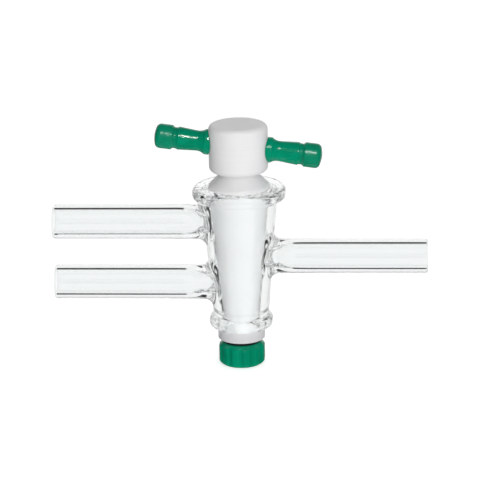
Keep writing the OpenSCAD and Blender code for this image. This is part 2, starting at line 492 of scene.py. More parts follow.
class EffectGroup:
    """A shader node group with numbers as its inputs and outputs, built once."""

    name = "effect"
    takes: dict[str, float] = {}
    number = "NodeSocketFloat"

    def tree(self) -> bpy.types.NodeTree:
        """Gives the group's node tree, and builds it the first time.

        Returns:
            The tree.
        """
        tree = bpy.data.node_groups.get(self.name)
        if tree is None:
            tree = bpy.data.node_groups.new(self.name, "ShaderNodeTree")
            canvas = Canvas(tree)
            for name, value in self.takes.items():
                socket = tree.interface.new_socket(name, in_out="INPUT", socket_type=self.number)
                socket.default_value = value
            gives = self.draw(canvas, canvas.put("NodeGroupInput").outputs)
            for name in gives:
                tree.interface.new_socket(name, in_out="OUTPUT", socket_type=self.number)
            canvas.put("NodeGroupOutput", gives)
        return tree

    def draw(self, canvas: Canvas, ask: Outputs) -> dict[str, Socket]:
        """Draws the group's nodes and names what they give."""
        raise NotImplementedError

    def place(self, canvas: Canvas, **inputs: object) -> Outputs:
        """Places the group in a material and gives its outputs."""
        named = {key.replace("_", " ").capitalize(): value for key, value in inputs.items()}
        return canvas.put("Group", named, node_tree=self.tree()).outputs


class MouldGrain(EffectGroup):
    """Fine even grain of moulded pieces, with slow mottling of the colour."""

    name = "mould_grain"
    takes = {"Scale": 900.0, "Mottle scale": 180.0}

    def draw(self, canvas: Canvas, ask: Outputs) -> dict[str, Socket]:
        """Draws a fine grain over soft dimples, and a slow mottle.

        Args:
            canvas: The group's canvas.
            ask: The group's inputs.

        Returns:
            The grain's height and the mottle's share.
        """
        place = canvas.place()
        fine = canvas.noise(place, ask["Scale"], Roughness=0.55)
        dimple = canvas.noise(place, canvas.maths("MULTIPLY", ask["Scale"], 0.36), 1.0)
        slow = canvas.noise(place, ask["Mottle scale"], 3.0)
        return {"Height": canvas.maths("MULTIPLY_ADD", dimple, 0.9, fine),
                "Mottle": canvas.spread(slow, 0.32, 0.68)}


class TurningMarks(EffectGroup):
    """Fine rings left by a lathe tool, slightly uneven, with a faint waxy cloudiness."""

    name = "turning_marks"
    takes = {"Pitch": 0.00025}

    def draw(self, canvas: Canvas, ask: Outputs) -> dict[str, Socket]:
        """Draws rings about the Z axis on the sides and on the flat ends.

        Args:
            canvas: The group's canvas.
            ask: The group's inputs.

        Returns:
            The rings' height, their share and the cloudiness.
        """
        place = canvas.place()
        x, y, z = canvas.put("SeparateXYZ", {0: place}).outputs
        rho = canvas.maths("SQRT", canvas.maths("ADD", canvas.maths("MULTIPLY", x, x),
                                                canvas.maths("MULTIPLY", y, y)))
        along = canvas.maths("DIVIDE", canvas.maths("ADD", z, rho), ask["Pitch"])
        uneven = canvas.maths("MULTIPLY_ADD", canvas.noise(place, 260.0), 2.5, along)
        wave = canvas.maths("SINE", canvas.maths("MULTIPLY", uneven, 2 * math.pi))
        line = canvas.put("CombineXYZ", {2: along}).outputs[0]
        band = canvas.noise(line, 0.35, 3.0, Roughness=0.7)
        return {"Height": canvas.maths("MULTIPLY_ADD", band, 2.2, wave),
                "Ring": canvas.spread(band, 0.3, 0.7),
                "Cloud": canvas.spread(canvas.noise(place, 120.0), 0.3, 0.7)}


class EdgeTone(EffectGroup):
    """Masks for rubbed outer edges and for painted shade in hollows, from the mesh's curvature."""

    name = "edge_tone"
    takes = {"Reach": 0.06}

    def draw(self, canvas: Canvas, ask: Outputs) -> dict[str, Socket]:
        """Draws the two masks, broken up by a fine noise.

        Args:
            canvas: The group's canvas.
            ask: The group's inputs.

        Returns:
            The masks of the rubbed edges and of the painted shade in the hollows.
        """
        bend = canvas.maths("SUBTRACT", canvas.put("NewGeometry").outputs["Pointiness"], 0.51)
        loose = canvas.maths("MULTIPLY_ADD", canvas.noise(canvas.place(), 700.0), 0.02, bend)
        back = canvas.maths("MULTIPLY", loose, -1.0)
        return {"Edge": canvas.maths("DIVIDE", loose, ask["Reach"], clamp=True),
                "Hollow": canvas.maths("DIVIDE", back, ask["Reach"], clamp=True)}


class HandlingFilm(EffectGroup):
    """A trace of dust and finger film that lies unevenly on a surface."""

    name = "handling_film"
    takes = {"Amount": 0.1, "Scale": 90.0}

    def draw(self, canvas: Canvas, ask: Outputs) -> dict[str, Socket]:
        """Draws soft smears and sparse fine specks.

        Args:
            canvas: The group's canvas.
            ask: The group's inputs.

        Returns:
            The masks of the smears and of the specks.
        """
        place = canvas.place()
        smear = canvas.noise(place, ask["Scale"], 5.0, Roughness=0.62, Distortion=0.8)
        film = canvas.maths("MULTIPLY", canvas.spread(smear, 0.5, 0.75), ask["Amount"])
        dots = canvas.put("TexVoronoi", {"Vector": place, "Scale": 1500.0, "Randomness": 1.0})
        speck = canvas.spread(dots.outputs["Distance"], 0.04, 0.1, 1.0, 0.0)
        return {"Film": film, "Specks": canvas.maths("MULTIPLY", speck, film)}


class HandWear(EffectGroup):
    """A mask for the ends of a bar that fingers have rubbed dull."""

    name = "hand_wear"
    takes = {"Start": 0.014, "Fade": 0.002}

    def draw(self, canvas: Canvas, ask: Outputs) -> dict[str, Socket]:
        """Draws the mask, ragged where the rubbed part starts.

        Args:
            canvas: The group's canvas.
            ask: The group's inputs.

        Returns:
            The mask.
        """
        place = canvas.place()
        out = canvas.maths("ABSOLUTE", canvas.put("SeparateXYZ", {0: place}).outputs[0])
        rag = canvas.maths("MULTIPLY_ADD", canvas.noise(place, 900.0), 0.002, out)
        past = canvas.maths("SUBTRACT", rag, ask["Start"])
        return {"Worn": canvas.maths("DIVIDE", past, ask["Fade"], clamp=True)}


def darker(colour: Colour, share: float) -> Colour:
    """Gives a colour with all its parts times a share."""
    return tuple(part * share for part in colour)


class Finish:
    """A surface finish that makes its own material."""

    name = "finish"

    def material(self) -> bpy.types.Material:
        """Gives the finish's material, and makes it the first time.

        Returns:
            The material.
        """
        found = bpy.data.materials.get(self.name)
        if found is None:
            found = bpy.data.materials.new(self.name)
            found.use_nodes = True
            canvas = Canvas(found.node_tree)
            surface = self.draw(canvas)
            canvas.put("OutputMaterial", {"Surface": surface.outputs[0]})
        return found

    def draw(self, canvas: Canvas) -> bpy.types.Node:
        """Draws the finish and gives its last shader node."""
        raise NotImplementedError


@dataclass(frozen=True)
class ClearGlass(Finish):
    """Clear fire-polished borosilicate glass with faint drawing lines."""

    name = "clear_borosilicate"
    tint: Colour = (0.964, 0.979, 0.977)
    shadow: Colour = (0.815, 0.825, 0.825)
    ior: float = 1.474
    line_depth: float = 0.02

    def draw(self, canvas: Canvas) -> bpy.types.Node:
        """Draws the glass, which lets lamp light through without refraction.

        Args:
            canvas: The material's canvas.

        Returns:
            The glass shader.
        """
        film = HandlingFilm().place(canvas, amount=1.0, scale=70.0)
        colour = canvas.blend(film["Film"], self.tint, darker(self.tint, 0.985))
        rough = canvas.maths("MULTIPLY", film["Specks"], 0.05)
        drawn = canvas.put("Mapping", {"Vector": canvas.place(), "Scale": (25.0, 700.0, 700.0)})
        lines = canvas.noise(drawn.outputs[0], 1.0, 1.0)
        glass = canvas.put("BsdfPrincipled", {
            "Base Color": colour, "Roughness": rough, "IOR": self.ior, "Metallic": 0.0,
            "Transmission Weight": 1.0, "Normal": canvas.bump(lines, self.line_depth, 0.0002)})
        clear = canvas.put("BsdfTransparent", {"Color": (*self.shadow, 1)})
        lamp = canvas.put("LightPath").outputs["Is Shadow Ray"]
        return canvas.put("MixShader", {0: lamp, 1: glass.outputs[0], 2: clear.outputs[0]})


@dataclass(frozen=True)
class TurnedPtfe(Finish):
    """White turned fluoropolymer, waxy and slightly translucent."""

    name: str = "turned_ptfe"
    white: Colour = (0.86, 0.855, 0.86)
    # darker colour for the lathe rings and waxy cloudiness, and for the painted shade in hollows
    tone_and_shade: Colour = (0.80, 0.797, 0.805)
    roughness: float = 0.42
    pitch: float = 0.00028
    depth: float = 0.05

    def draw(self, canvas: Canvas) -> bpy.types.Node:
        """Draws the plastic.

        Args:
            canvas: The material's canvas.

        Returns:
            The plastic's shader.
        """
        marks = TurningMarks().place(canvas, pitch=self.pitch)
        edge = EdgeTone().place(canvas, reach=0.08)
        film = HandlingFilm().place(canvas, amount=0.5, scale=60.0)
        cloud = canvas.maths("MULTIPLY", marks["Cloud"], 0.25)
        tone = canvas.maths("MULTIPLY_ADD", marks["Ring"], 0.3, cloud)
        # painted shade: hollows, such as the neck under the head, are blended towards the darker
        # colour
        hollow = canvas.maths("MULTIPLY", edge["Hollow"], 0.5)
        tone = canvas.maths("ADD", tone, hollow, clamp=True)
        return canvas.put("BsdfPrincipled", {
            "Base Color": canvas.blend(tone, self.white, self.tone_and_shade),
            "Roughness": canvas.maths("MULTIPLY_ADD", film["Film"], 0.18, self.roughness),
            "IOR": 1.36, "Subsurface Weight": 0.3, "Subsurface Radius": (1.0, 0.95, 0.9),
            "Subsurface Scale": 0.0012,
            "Normal": canvas.bump(marks["Height"], self.depth, 0.0001)})


@dataclass(frozen=True)
class MouldedGreen(Finish):
    """Moulded green plastic with a fine grain that breaks up its highlights."""

    name: str = "moulded_green"
    green: Colour = (0.0, 0.285, 0.155)
    deep: Colour = (0.0, 0.225, 0.118)
    worn: Colour = (0.002, 0.3, 0.17)
    dust: Colour = (0.3, 0.5, 0.42)
    roughness: float = 0.12
    grain: float = 2200.0
    depth: float = 0.5
    wear_start: float = 0.0145
    dulled: float = 0.1

    def draw(self, canvas: Canvas) -> bpy.types.Node:
        """Draws the plastic.

        Args:
            canvas: The material's canvas.

        Returns:
            The plastic's shader.
        """
        grain = MouldGrain().place(canvas, scale=self.grain, mottle_scale=240.0)
        edge = EdgeTone().place(canvas, reach=0.07)
        film = HandlingFilm().place(canvas, amount=0.6, scale=150.0)
        colour = canvas.blend(grain["Mottle"], self.green, self.deep)
        for mask, share, tone in ((edge["Edge"], 0.5, self.worn),
                                  # painted shade: the hollows are blended towards a darker green
                                  (edge["Hollow"], 0.6, darker(self.deep, 0.6)),
                                  (film["Specks"], 0.03, self.dust)):
            colour = canvas.blend(canvas.maths("MULTIPLY", mask, share), colour, tone)
        rough = canvas.maths("MULTIPLY_ADD", film["Film"], 0.08, self.roughness)
        worn = HandWear().place(canvas, start=self.wear_start)
        rough = canvas.maths("MULTIPLY_ADD", worn["Worn"], self.dulled, rough)
        return canvas.put("BsdfPrincipled", {
            "Base Color": colour, "Roughness": rough, "IOR": 1.5, "Specular IOR Level": 0.3,
            "Normal": canvas.bump(grain["Height"], self.depth, 0.0001)})


@dataclass(frozen=True)
class BlackRubber(Finish):
    """Smooth black rubber with a dry bloom."""

    name = "black_rubber_ring"
    black: Colour = (0.012, 0.013, 0.013)
    bloom: Colour = (0.05, 0.052, 0.052)
    roughness: float = 0.5

    def draw(self, canvas: Canvas) -> bpy.types.Node:
        """Draws the rubber.

        Args:
            canvas: The material's canvas.

        Returns:
            The rubber's shader.
        """
        grain = MouldGrain().place(canvas, scale=2500.0, mottle_scale=400.0)
        film = HandlingFilm().place(canvas, amount=0.8, scale=200.0)
        return canvas.put("BsdfPrincipled", {
            "Base Color": canvas.blend(film["Film"], self.black, self.bloom),
            "Roughness": canvas.maths("MULTIPLY_ADD", grain["Mottle"], 0.15, self.roughness),
            "IOR": 1.52, "Normal": canvas.bump(grain["Height"], 0.3, 0.00005)})


@dataclass(frozen=True)
class PaleFloor(Finish):
    """White studio sweep that keeps the object's soft shadow."""

    name = "pale_floor"
    pale: Colour = (0.9, 0.9, 0.9)
    lift: float = 0.53

    def draw(self, canvas: Canvas) -> bpy.types.Node:
        """Draws the floor, lifted towards white where it is seen directly.

        Args:
            canvas: The material's canvas.

        Returns:
            The floor's shader.
        """
        noise = canvas.noise(canvas.place(), 40.0, 3.0)
        colour = canvas.blend(noise, self.pale, darker(self.pale, 0.985))
        matt = canvas.put("BsdfPrincipled", {"Base Color": colour, "Roughness": 0.9})
        path = canvas.put("LightPath").outputs
        seen = canvas.maths("MAXIMUM", path["Is Camera Ray"], path["Is Glossy Ray"])
        glow = canvas.put("Emission", {"Strength": canvas.maths("MULTIPLY", seen, self.lift)})
        return canvas.put("AddShader", {0: matt.outputs[0], 1: glow.outputs[0]})


# ---------------------------------------------------------------- the part

@dataclass
class Taper:
    """The taper that the plug and the barrel share."""

    top_z: float
    top_r: float = 7.275
    ratio: float = 5.0

    @property
    def lean(self) -> float:
        """Gives how much shorter the way to the cone is than the way across."""
        return math.cos(math.atan(1 / (2 * self.ratio)))

    def radius(self, z: np.ndarray | float) -> np.ndarray | float:
        """Gives the plug's radius at a height."""
        return self.top_r - (self.top_z - z) / (2 * self.ratio)


@dataclass
class Arm:
    """One tube fused to the barrel."""

    side: Side
    z: float

    def place(self, points: np.ndarray) -> tuple[np.ndarray, np.ndarray]:
        """Gives the points' distances along the arm and away from its axis."""
        return (points[:, 0] * self.side.value,
                np.hypot(points[:, 1], points[:, 2] - self.z))


@dataclass
class FusedGlass:
    """The barrel and its three arms, fused into one piece of glass."""

    foot_z: float
    top_z: float
    reach: float
    arms: list[Arm]
    taper: Taper
    arm_r: float = 4.0
    bore_r: float = 2.8
    port_r: float = 2.0
    polish: float = 0.4
    gap: float = 0.05
    foot_wall: float = 2.45
    top_wall: float = 1.75
    top_flange_r: float = 11.0
    foot_flange_r: float = 7.55
    flange_h: float = 3.0
    flange_round: float = 1.15
    flange_fillet: float = 0.5
    tooling: float = 0.014       # half the depth of the tool's marks on the flanges
    tooling_wave: float = 1.3
    tooling_seed: int = 4
    fuse_fillet: float = 1.7
    swell: float = 0.18          # swelling of an arm at the barrel, and how far it fades
    swell_length: float = 4.0
    flow: float = 0.05           # waviness of the glass round each joint, and its spread
    flow_wave: float = 3.2
    flow_seed: int = 11
    flow_spread: float = 40.0
    narrow_start: float = 8.5    # where an arm's bore has its port's width, and how it widens
    narrow_length: float = 2.2
    narrow_power: float = 1.4
    rim: float = 0.35
    inner_start: float = 2.0     # where passages and tubes start, inside the barrel
    outer_start: float = 3.0
    cell: float = 0.3

    @classmethod
    def from_frame(cls) -> "FusedGlass":
        """Takes the glass's place and its arms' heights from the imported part.

        Returns:
            The glass, ready to be built.
        """
        low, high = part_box("glass_body")
        arms = [
            Arm(Side.LEFT if mount["axis"][0] < 0 else Side.RIGHT, mount["pos_m"][2] / MM)
            for mount in frame["record"]["mounts"]
        ]
        return cls(low.z / MM, high.z / MM, high.x / MM, arms, Taper(high.z / MM))

    def wall_radius(self, z: np.ndarray | float) -> np.ndarray | float:
        """Gives the barrel's outer radius between its flanges.

        Args:
            z: One height or many.

        Returns:
            The radius at each height.
        """
        up = (z - self.foot_z) / (self.top_z - self.foot_z)
        wall = self.foot_wall + up * (self.top_wall - self.foot_wall)
        return self.taper.radius(z) + self.gap + wall

    def barrel(self, points: np.ndarray) -> np.ndarray:
        """Gives the outside of the barrel with its two flanges.

        Args:
            points: Points as rows of x, y and z.

        Returns:
            Signed distances to the barrel's outside.
        """
        rho, z = np.hypot(points[:, 0], points[:, 1]), points[:, 2]
        lean = math.cos(math.atan(self.wall_radius(1.0) - self.wall_radius(0.0)))
        ends = np.abs(z - (self.foot_z + self.top_z) / 2) - (self.top_z - self.foot_z) / 2
        solid = np.maximum((rho - self.wall_radius(z)) * lean, ends + self.flange_h / 2)
        tooled = self.tooling * (1 + waviness(points, self.tooling_wave, self.tooling_seed))
        for low, radius in ((self.top_z - self.flange_h, self.top_flange_r),
                            (self.foot_z, self.foot_flange_r)):
            flange = disc(rho, z, low, low + self.flange_h, radius, self.flange_round)
            solid = joined(solid, flange + tooled, self.flange_fillet)
        return solid

    def outside(self, points: np.ndarray) -> np.ndarray:
        """Gives the glass's outside with its arms fused on.

        Args:
            points: Points as rows of x, y and z.

        Returns:
            Signed distances to the outside.
        """
        solid = self.barrel(points)
        for arm in self.arms:
            out, across = arm.place(points)
            past = np.maximum(out - self.wall_radius(arm.z), 0)
            radius = self.arm_r + self.swell * np.exp(-past / self.swell_length)
            tube = disc(across, out, 0, self.reach, radius, self.polish)
            solid = joined(solid, np.maximum(tube, self.outer_start - out), self.fuse_fillet)
        return solid

    def hollow(self, points: np.ndarray) -> np.ndarray:
        """Gives the taper bore and the passages of the arms.

        Args:
            points: Points as rows of x, y and z.

        Returns:
            Signed distances to the hollow space.
        """
        rho = np.hypot(points[:, 0], points[:, 1])
        space = (rho - self.taper.radius(points[:, 2]) - self.gap) * self.taper.lean
        for arm in self.arms:
            out, across = arm.place(points)
            away = np.maximum(out - self.narrow_start, 0) / self.narrow_length
            narrowing = (self.bore_r - self.port_r) * np.exp(-away ** self.narrow_power)
            passage = np.maximum(across - (self.bore_r - narrowing), self.inner_start - out)
            space = joined(space, passage, self.rim)
        return space

    def field(self, points: np.ndarray) -> np.ndarray:
        """Gives the whole glass, its outside uneven where the arms were worked on hot.

        Args:
            points: Points as rows of x, y and z.

        Returns:
            Signed distances to the glass.
        """
        worked = np.zeros(len(points))
        for arm in self.arms:
            joint = np.array([arm.side.value * self.wall_radius(arm.z), 0, arm.z])
            away = ((points - joint) ** 2).sum(axis=1)
            worked = np.maximum(worked, np.exp(-away / self.flow_spread))
        flow = self.flow * worked * waviness(points, self.flow_wave, self.flow_seed)
        return shared(self.outside(points) + flow, -self.hollow(points), self.rim)

    def build(self, finish: Finish) -> bpy.types.Object:
        """Builds and dresses the glass, with a fine grid at the barrel and the arms' ends.

        Args:
            finish: The glass's finish.

        Returns:
            The finished piece.
        """
        past, near, far = self.reach + 0.4, self.top_flange_r + 2, 20.0
        end = past - 1.4
        xs = grid_lines((-past, -end, -far, -near, near, far, end, past),
                        (0.16, 1.5, 0.7, self.cell, 0.7, 1.5, 0.16))
        ys = grid_lines((-self.top_flange_r - 0.6, self.top_flange_r + 0.6), (self.cell,))
        zs = grid_lines((self.foot_z - 0.45, self.top_z + 0.45), (self.cell,))
        mesh = FieldMesher(self.field, (xs, ys, zs)).mesh()
        return add_piece("fused_glass", mesh, Body.BARREL, "glass_body",
                         finish.material())


@dataclass
class BarHandle:
    """The bar handle: two moulded grips whose spigots meet inside the plug's head."""

    centre_z: float
    tip: float = 19.65
    head_r: float = 6.9
    slope: float = 7.8
    gap: float = 0.05
    spigot_r: float = 2.0
    collar_r: float = 2.975
    collar_end: float = 7.95
    collar_round: float = 0.2
    waist_r: float = 2.375
    waist_end: float = 9.55
    waist_power: float = 2.4
    grip_r: float = 2.7
    groove_r: float = 2.455
    groove_w: float = 1.3
    groove_round: float = 0.16
    knob_r: float = 2.875
    knob_len: float = 4.2
    knob_round: float = 1.2
    dome: float = 0.28
    columns: int = 128

    @classmethod
    def from_frame(cls) -> "BarHandle":
        """Takes the handle's height from the middle of its two packed grips."""
        ends = [*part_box("handle_left"), *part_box("handle_right")]
        return cls(centre_z=sum(end.z for end in ends) / 4 / MM)

    def axis(self, side: Side) -> np.ndarray:
        """Gives the way that a grip points."""
        turn = math.radians(self.slope)
        return side.value * np.array([math.cos(turn), 0, -math.sin(turn)])

    def collar(self) -> list[tuple[float, float, float]]:
        """Draws a grip from its spigot's end to the end of its waist.

        Returns:
            Points as (radius, distance from the plug's axis, share of the head's curve to follow).
        """
        face = self.head_r + self.gap
        rows = [(0.0, 0.1, 0.0), (self.spigot_r - 0.2, 0.1, 0.0), (self.spigot_r, 0.3, 0.0),
                (self.spigot_r, 3.0, 0.0), (self.spigot_r, face, 1.0)]
        rows += [(r, face, 1.0) for r in (2.3, 2.6, self.collar_r - 0.2)]
        small = 0.18
        rows += [(r, a, 1.0)
                 for r, a in quarter(self.collar_r - small, face + small, small, -90, 0, 5)]
        rows += [(self.collar_r + 0.02, face + 0.4, 0.75),
                 (self.collar_r + 0.01, face + 0.65, 0.35)]
        edge = quarter(self.collar_r - self.collar_round, self.collar_end - self.collar_round,
                       self.collar_round, 0, 62, 5)
        drop, length = edge[-1][0] - self.waist_r, self.waist_end - edge[-1][1]
        return rows + [(r, a, 0.0) for r, a in edge] + [
            (self.waist_r + drop * (1 - t) ** self.waist_power, edge[-1][1] + t * length, 0.0)
            for t in (0.08, 0.18, 0.3, 0.45, 0.6, 0.8, 1.0)
        ]

    def bar(self) -> list[tuple[float, float]]:
        """Draws a grip from its waist's end over the groove to the domed knob.

        Returns:
            Points as (radius, distance from the plug's axis).
        """
        knob_at = self.tip - self.knob_len
        groove = knob_at - self.groove_w
        small = self.groove_round
        rows = [(self.waist_r, self.waist_end), (self.waist_r + 0.02, self.waist_end + 0.5),
                (self.grip_r - 0.01, groove - small - 0.1)]
        rows += quarter(self.grip_r - small, groove - small, small, 5, 80, 4)
        rows += [(self.groove_r + 0.05, groove + 0.3), (self.groove_r, groove + 0.42),
                 (self.groove_r, knob_at - 0.42), (self.groove_r + 0.05, knob_at - 0.3)]
        rows += quarter(self.knob_r - small, knob_at + small, small, -80, 0, 4)
        rows += quarter(self.knob_r - self.knob_round, self.tip - self.knob_round - self.dome,
                        self.knob_round, 0, 76, 10)
        rim, start = rows[-1]
        return rows + [
            (rim * (1 - t), start + (self.tip - start) * (1 - (1 - t) ** 2))
            for t in (0.25, 0.5, 0.75, 1.0)
        ]

    def grip(self, side: Side) -> Mesh:
        """Builds one grip, its collar hollowed to the head's side.

        Args:
            side: The side of the plug's axis.

        Returns:
            The grip's mesh.
        """
        turn = math.radians(self.slope)
        angle = np.linspace(0, 2 * math.pi, self.columns, endpoint=False)
        face = self.head_r + self.gap
        rows = np.array(self.collar() + [(r, a, 0.0) for r, a in dense(self.bar(), 0.25)[1:]])
        radius, along, follow = (rows[:, i][:, None] for i in range(3))
        across = radius * np.cos(angle)
        up = radius * np.sin(angle)
        curve = np.sqrt(face ** 2 - across ** 2) - side.value * up * math.sin(turn)
        out = along + follow * (curve / math.cos(turn) - face)
        lift = np.array([math.sin(turn), 0, math.cos(turn)])
        points = (out[..., None] * self.axis(side) + across[..., None] * np.array([0, 1, 0])
                  + up[..., None] * lift).reshape(-1, 3)
        points[:, 2] += self.centre_z
        faces = wrapped(len(rows), self.columns, False)
        return closed_ends(points, faces if side is Side.RIGHT else faces[:, ::-1], self.columns)

    def build(self, finish: Finish) -> list[bpy.types.Object]:
        """Builds and dresses both grips.

        Args:
            finish: The grips' finish.

        Returns:
            The two finished pieces.
        """
        return [
            add_piece("grip_" + side.name.lower(), self.grip(side), Body.PLUG_SET,
                      "handle_" + side.name.lower(), finish.material())
            for side in Side
        ]


@dataclass
class Plug:
    """The white plug: threaded tail, taper with two oblique bores, neck and head."""

    tail_z: float
    top_z: float
    glass: FusedGlass
    handle: BarHandle
    seat_proud: float = 0.2
    seat_round: float = 0.5
    foot_round: float = 0.12
    neck_r: float = 4.4
    neck_fillet: float = 0.5
    head_h: float = 11.3
    head_round: float = 1.25
    head_fillet: float = 0.35
    tail_r: float = 3.0
    tail_round: float = 0.3
    tail_fillet: float = 0.1
    bore_r: float = 2.0
    spigot_gap: float = 0.05
    hole_round: float = 0.15
    cell: float = 0.3

    @classmethod
    def from_frame(cls, glass: FusedGlass, handle: BarHandle) -> "Plug":
        """Takes the plug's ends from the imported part."""
        low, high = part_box("plug")
        return cls(low.z / MM, high.z / MM, glass, handle)

    def turned(self, points: np.ndarray) -> np.ndarray:
        """Gives the turned form without its holes.

        Args:
            points: Points as rows of x, y and z.

        Returns:
            Signed distances to the form.
        """
        rho, z = np.hypot(points[:, 0], points[:, 1]), points[:, 2]
        taper, foot_z = self.glass.taper, self.glass.foot_z
        seat_top = self.glass.top_z + self.seat_proud
        cone = (rho - taper.radius(z)) * taper.lean
        shoulder = (rho - taper.radius(seat_top) + z - seat_top) / math.sqrt(2)
        body = shared(shared(cone, shoulder, self.seat_round), foot_z - z, self.foot_round)
        tail = disc(rho, z, self.tail_z, foot_z + 3, self.tail_r, self.tail_round)
        neck = disc(rho, z, seat_top - 2, self.top_z - 4, self.neck_r, 0.2)
        head = disc(rho, z, self.top_z - self.head_h, self.top_z, self.handle.head_r,
                    self.head_round)
        for piece, fillet in ((neck, self.neck_fillet), (head, self.head_fillet),
                              (tail, self.tail_fillet)):
            body = joined(body, piece, fillet)
        return body

    def bore(self, points: np.ndarray, left_z: float, right_z: float) -> np.ndarray:
        """Gives one oblique bore.

        Args:
            points: Points as rows of x, y and z.
            left_z: Height at which the bore leaves the left side.
            right_z: Height at which it leaves the right side.

        Returns:
            Signed distances to the bore.
        """
        start = np.array([-self.glass.taper.radius(left_z), 0, left_z])
        end = np.array([self.glass.taper.radius(right_z), 0, right_z])
        way = (end - start) / np.linalg.norm(end - start)
        return np.linalg.norm(np.cross(points - start, way), axis=1) - self.bore_r

    def field(self, points: np.ndarray) -> np.ndarray:
        """Gives the whole plug.

        Args:
            points: Points as rows of x, y and z.

        Returns:
            Signed distances to the plug.
        """
        low, middle, high = sorted(arm.z for arm in self.glass.arms)
        hole = np.minimum(self.bore(points, high, middle), self.bore(points, middle, low))
        hub = np.array([0, 0, self.handle.centre_z])
        away = np.cross(points - hub, self.handle.axis(Side.RIGHT))
        cross = np.linalg.norm(away, axis=1) - self.handle.spigot_r - self.spigot_gap
        return shared(self.turned(points), -np.minimum(hole, cross), self.hole_round)

    def build(self, finish: Finish) -> bpy.types.Object:
        """Builds and dresses the plug, with a coarser grid along its tail.

        Args:
            finish: The plug's finish.

        Returns:
            The finished piece.
        """
        wide = self.glass.taper.top_r + 0.5
        across = grid_lines((-wide, wide), (self.cell,))
        zs = grid_lines((self.tail_z - 0.4, self.glass.foot_z - 0.4, self.top_z + 0.4),
                        (0.5, self.cell))
        mesh = FieldMesher(self.field, (across, across, zs)).mesh()
        return add_piece("turned_plug", mesh, Body.PLUG_SET, "plug", finish.material())


@dataclass
class TailStack:
    """The washer, the squeezed ring and the fluted nut on the plug's tail."""

    nut_top: float
    ring_top: float
    washer_low: float
    washer_top: float
    washer_r: float
    ring_r: float
    nut_r: float = 5.5
    hole_r: float = 3.1
    thread_r: float = 3.05
    washer_edge: float = 0.14
    nut_bevel: float = 0.9
    nut_chamfer: float = 0.6
    flutes: int = 12
    flute_w: float = 1.5
    flute_depth: float = 0.35
    flute_round: float = 0.07

    @classmethod
    def from_frame(cls) -> "TailStack":
        """Takes the stack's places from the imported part.

        Returns:
            The stack, ready to be built.
        """
        washer, ring, nut = (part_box(n) for n in ("washer", "seal_ring", "lock_nut"))
        return cls(nut[1].z / MM, ring[1].z / MM, washer[0].z / MM, washer[1].z / MM,
                   washer[1].x / MM, ring[1].x / MM)

    def washer(self) -> Mesh:
        """Builds the washer, its edges lightly broken.

        Returns:
            The washer's mesh.
        """
        edge = self.washer_edge
        low, high = self.washer_low + edge, self.washer_top - edge
        out, into = self.washer_r - edge, self.hole_r + edge
        rows = quarter(out, low, edge, -90, 0, 5) + quarter(out, high, edge, 0, 90, 5)
        rows += quarter(into, high, edge, 90, 180, 4) + quarter(into, low, edge, 180, 270, 4)
        return turned_ring(rows, 0.35, 144)

    def ring(self) -> Mesh:
        """Builds the seal ring, squeezed flat between the nut and the washer.

        Returns:
            The ring's mesh.
        """
        half = (self.ring_top - self.nut_top) / 2
        middle = self.nut_top + half
        rows = quarter(self.ring_r - half, middle, half, -84, 84, 12)
        rows += quarter(self.hole_r + half, middle, half, 96, 264, 12)
        return turned_ring(rows, 0.3, 128)

    def flute_radius(self, angle: np.ndarray) -> np.ndarray:
        """Gives the radius at which the flutes' round cutter leaves the nut's side.

        Args:
            angle: Angles round the nut.

        Returns:
            The radius at each angle, large between the flutes.
        """
        cutter = ((self.flute_w / 2) ** 2 + self.flute_depth ** 2) / (2 * self.flute_depth)
        at = self.nut_r - self.flute_depth + cutter
        pitch = 2 * math.pi / self.flutes
        off = (angle + pitch / 2) % pitch - pitch / 2
        inside = cutter ** 2 - (at * np.sin(off)) ** 2
        return at * np.cos(off) - np.sign(inside) * np.sqrt(np.abs(inside))

    def nut(self) -> Mesh:
        """Builds the nut with its rounded flutes.

        Returns:
            The nut's mesh.
        """
        out, top, thread = self.nut_r, self.nut_top, self.thread_r
        foot, bevel = self.nut_chamfer, top - self.nut_bevel
        low, high = out - self.nut_chamfer, out - self.nut_bevel
        rows = [(low - 0.25, 0.0), (low - 0.08, 0.02), (low + 0.06, 0.1),
                (out - 0.12, foot - 0.1), (out - 0.03, foot + 0.06), (out, foot + 0.25),
                (out, bevel - 0.25), (out - 0.03, bevel - 0.06), (out - 0.13, bevel + 0.1),
                (high + 0.12, top - 0.14), (high, top - 0.03), (high - 0.2, top),
                (thread + 0.3, top), (thread, top - 0.3), (thread, 0.3), (thread + 0.3, 0.0)]
        mesh = turned_ring(rows, 0.3, 288)
        x, y = mesh.points[:, 0], mesh.points[:, 1]
        radius, soft = np.hypot(x, y), self.flute_round
        deep = radius - self.flute_radius(np.arctan2(y, x))
        cut = np.where(radius > thread + 1, soft * np.logaddexp(0, deep / soft), 0)
        mesh.points[:, :2] *= ((radius - cut) / radius)[:, None]
        return mesh

    def build(self, ptfe: Finish, rubber: Finish, green: Finish) -> list[bpy.types.Object]:
        """Builds and dresses the three pieces.

        Args:
            ptfe: The washer's finish.
            rubber: The ring's finish.
            green: The nut's finish.

        Returns:
            The three finished pieces.
        """
        pieces = (("thrust_washer", self.washer(), Slot.PTFE, "washer", ptfe),
                  ("squeezed_ring", self.ring(), Slot.RUBBER, "seal_ring", rubber),
                  ("fluted_nut", self.nut(), Slot.GREEN, "lock_nut", green))
        return [add_piece(name, mesh, Body.PLUG_SET, node, finish.material())
                for name, mesh, slot, node, finish in pieces]


# ---------------------------------------------------------------- the studio

def direction(azimuth: float, elevation: float) -> Vector:
    """Gives the way from the part to a point round it.

    Args:
        azimuth: Degrees round from the front, towards +X.
        elevation: Degrees above the horizon.

    Returns:
        The way as a unit vector.
    """
    turn, rise = math.radians(azimuth), math.radians(elevation)
    flat = math.cos(rise)
    return Vector((math.sin(turn) * flat, -math.cos(turn) * flat, math.sin(rise)))


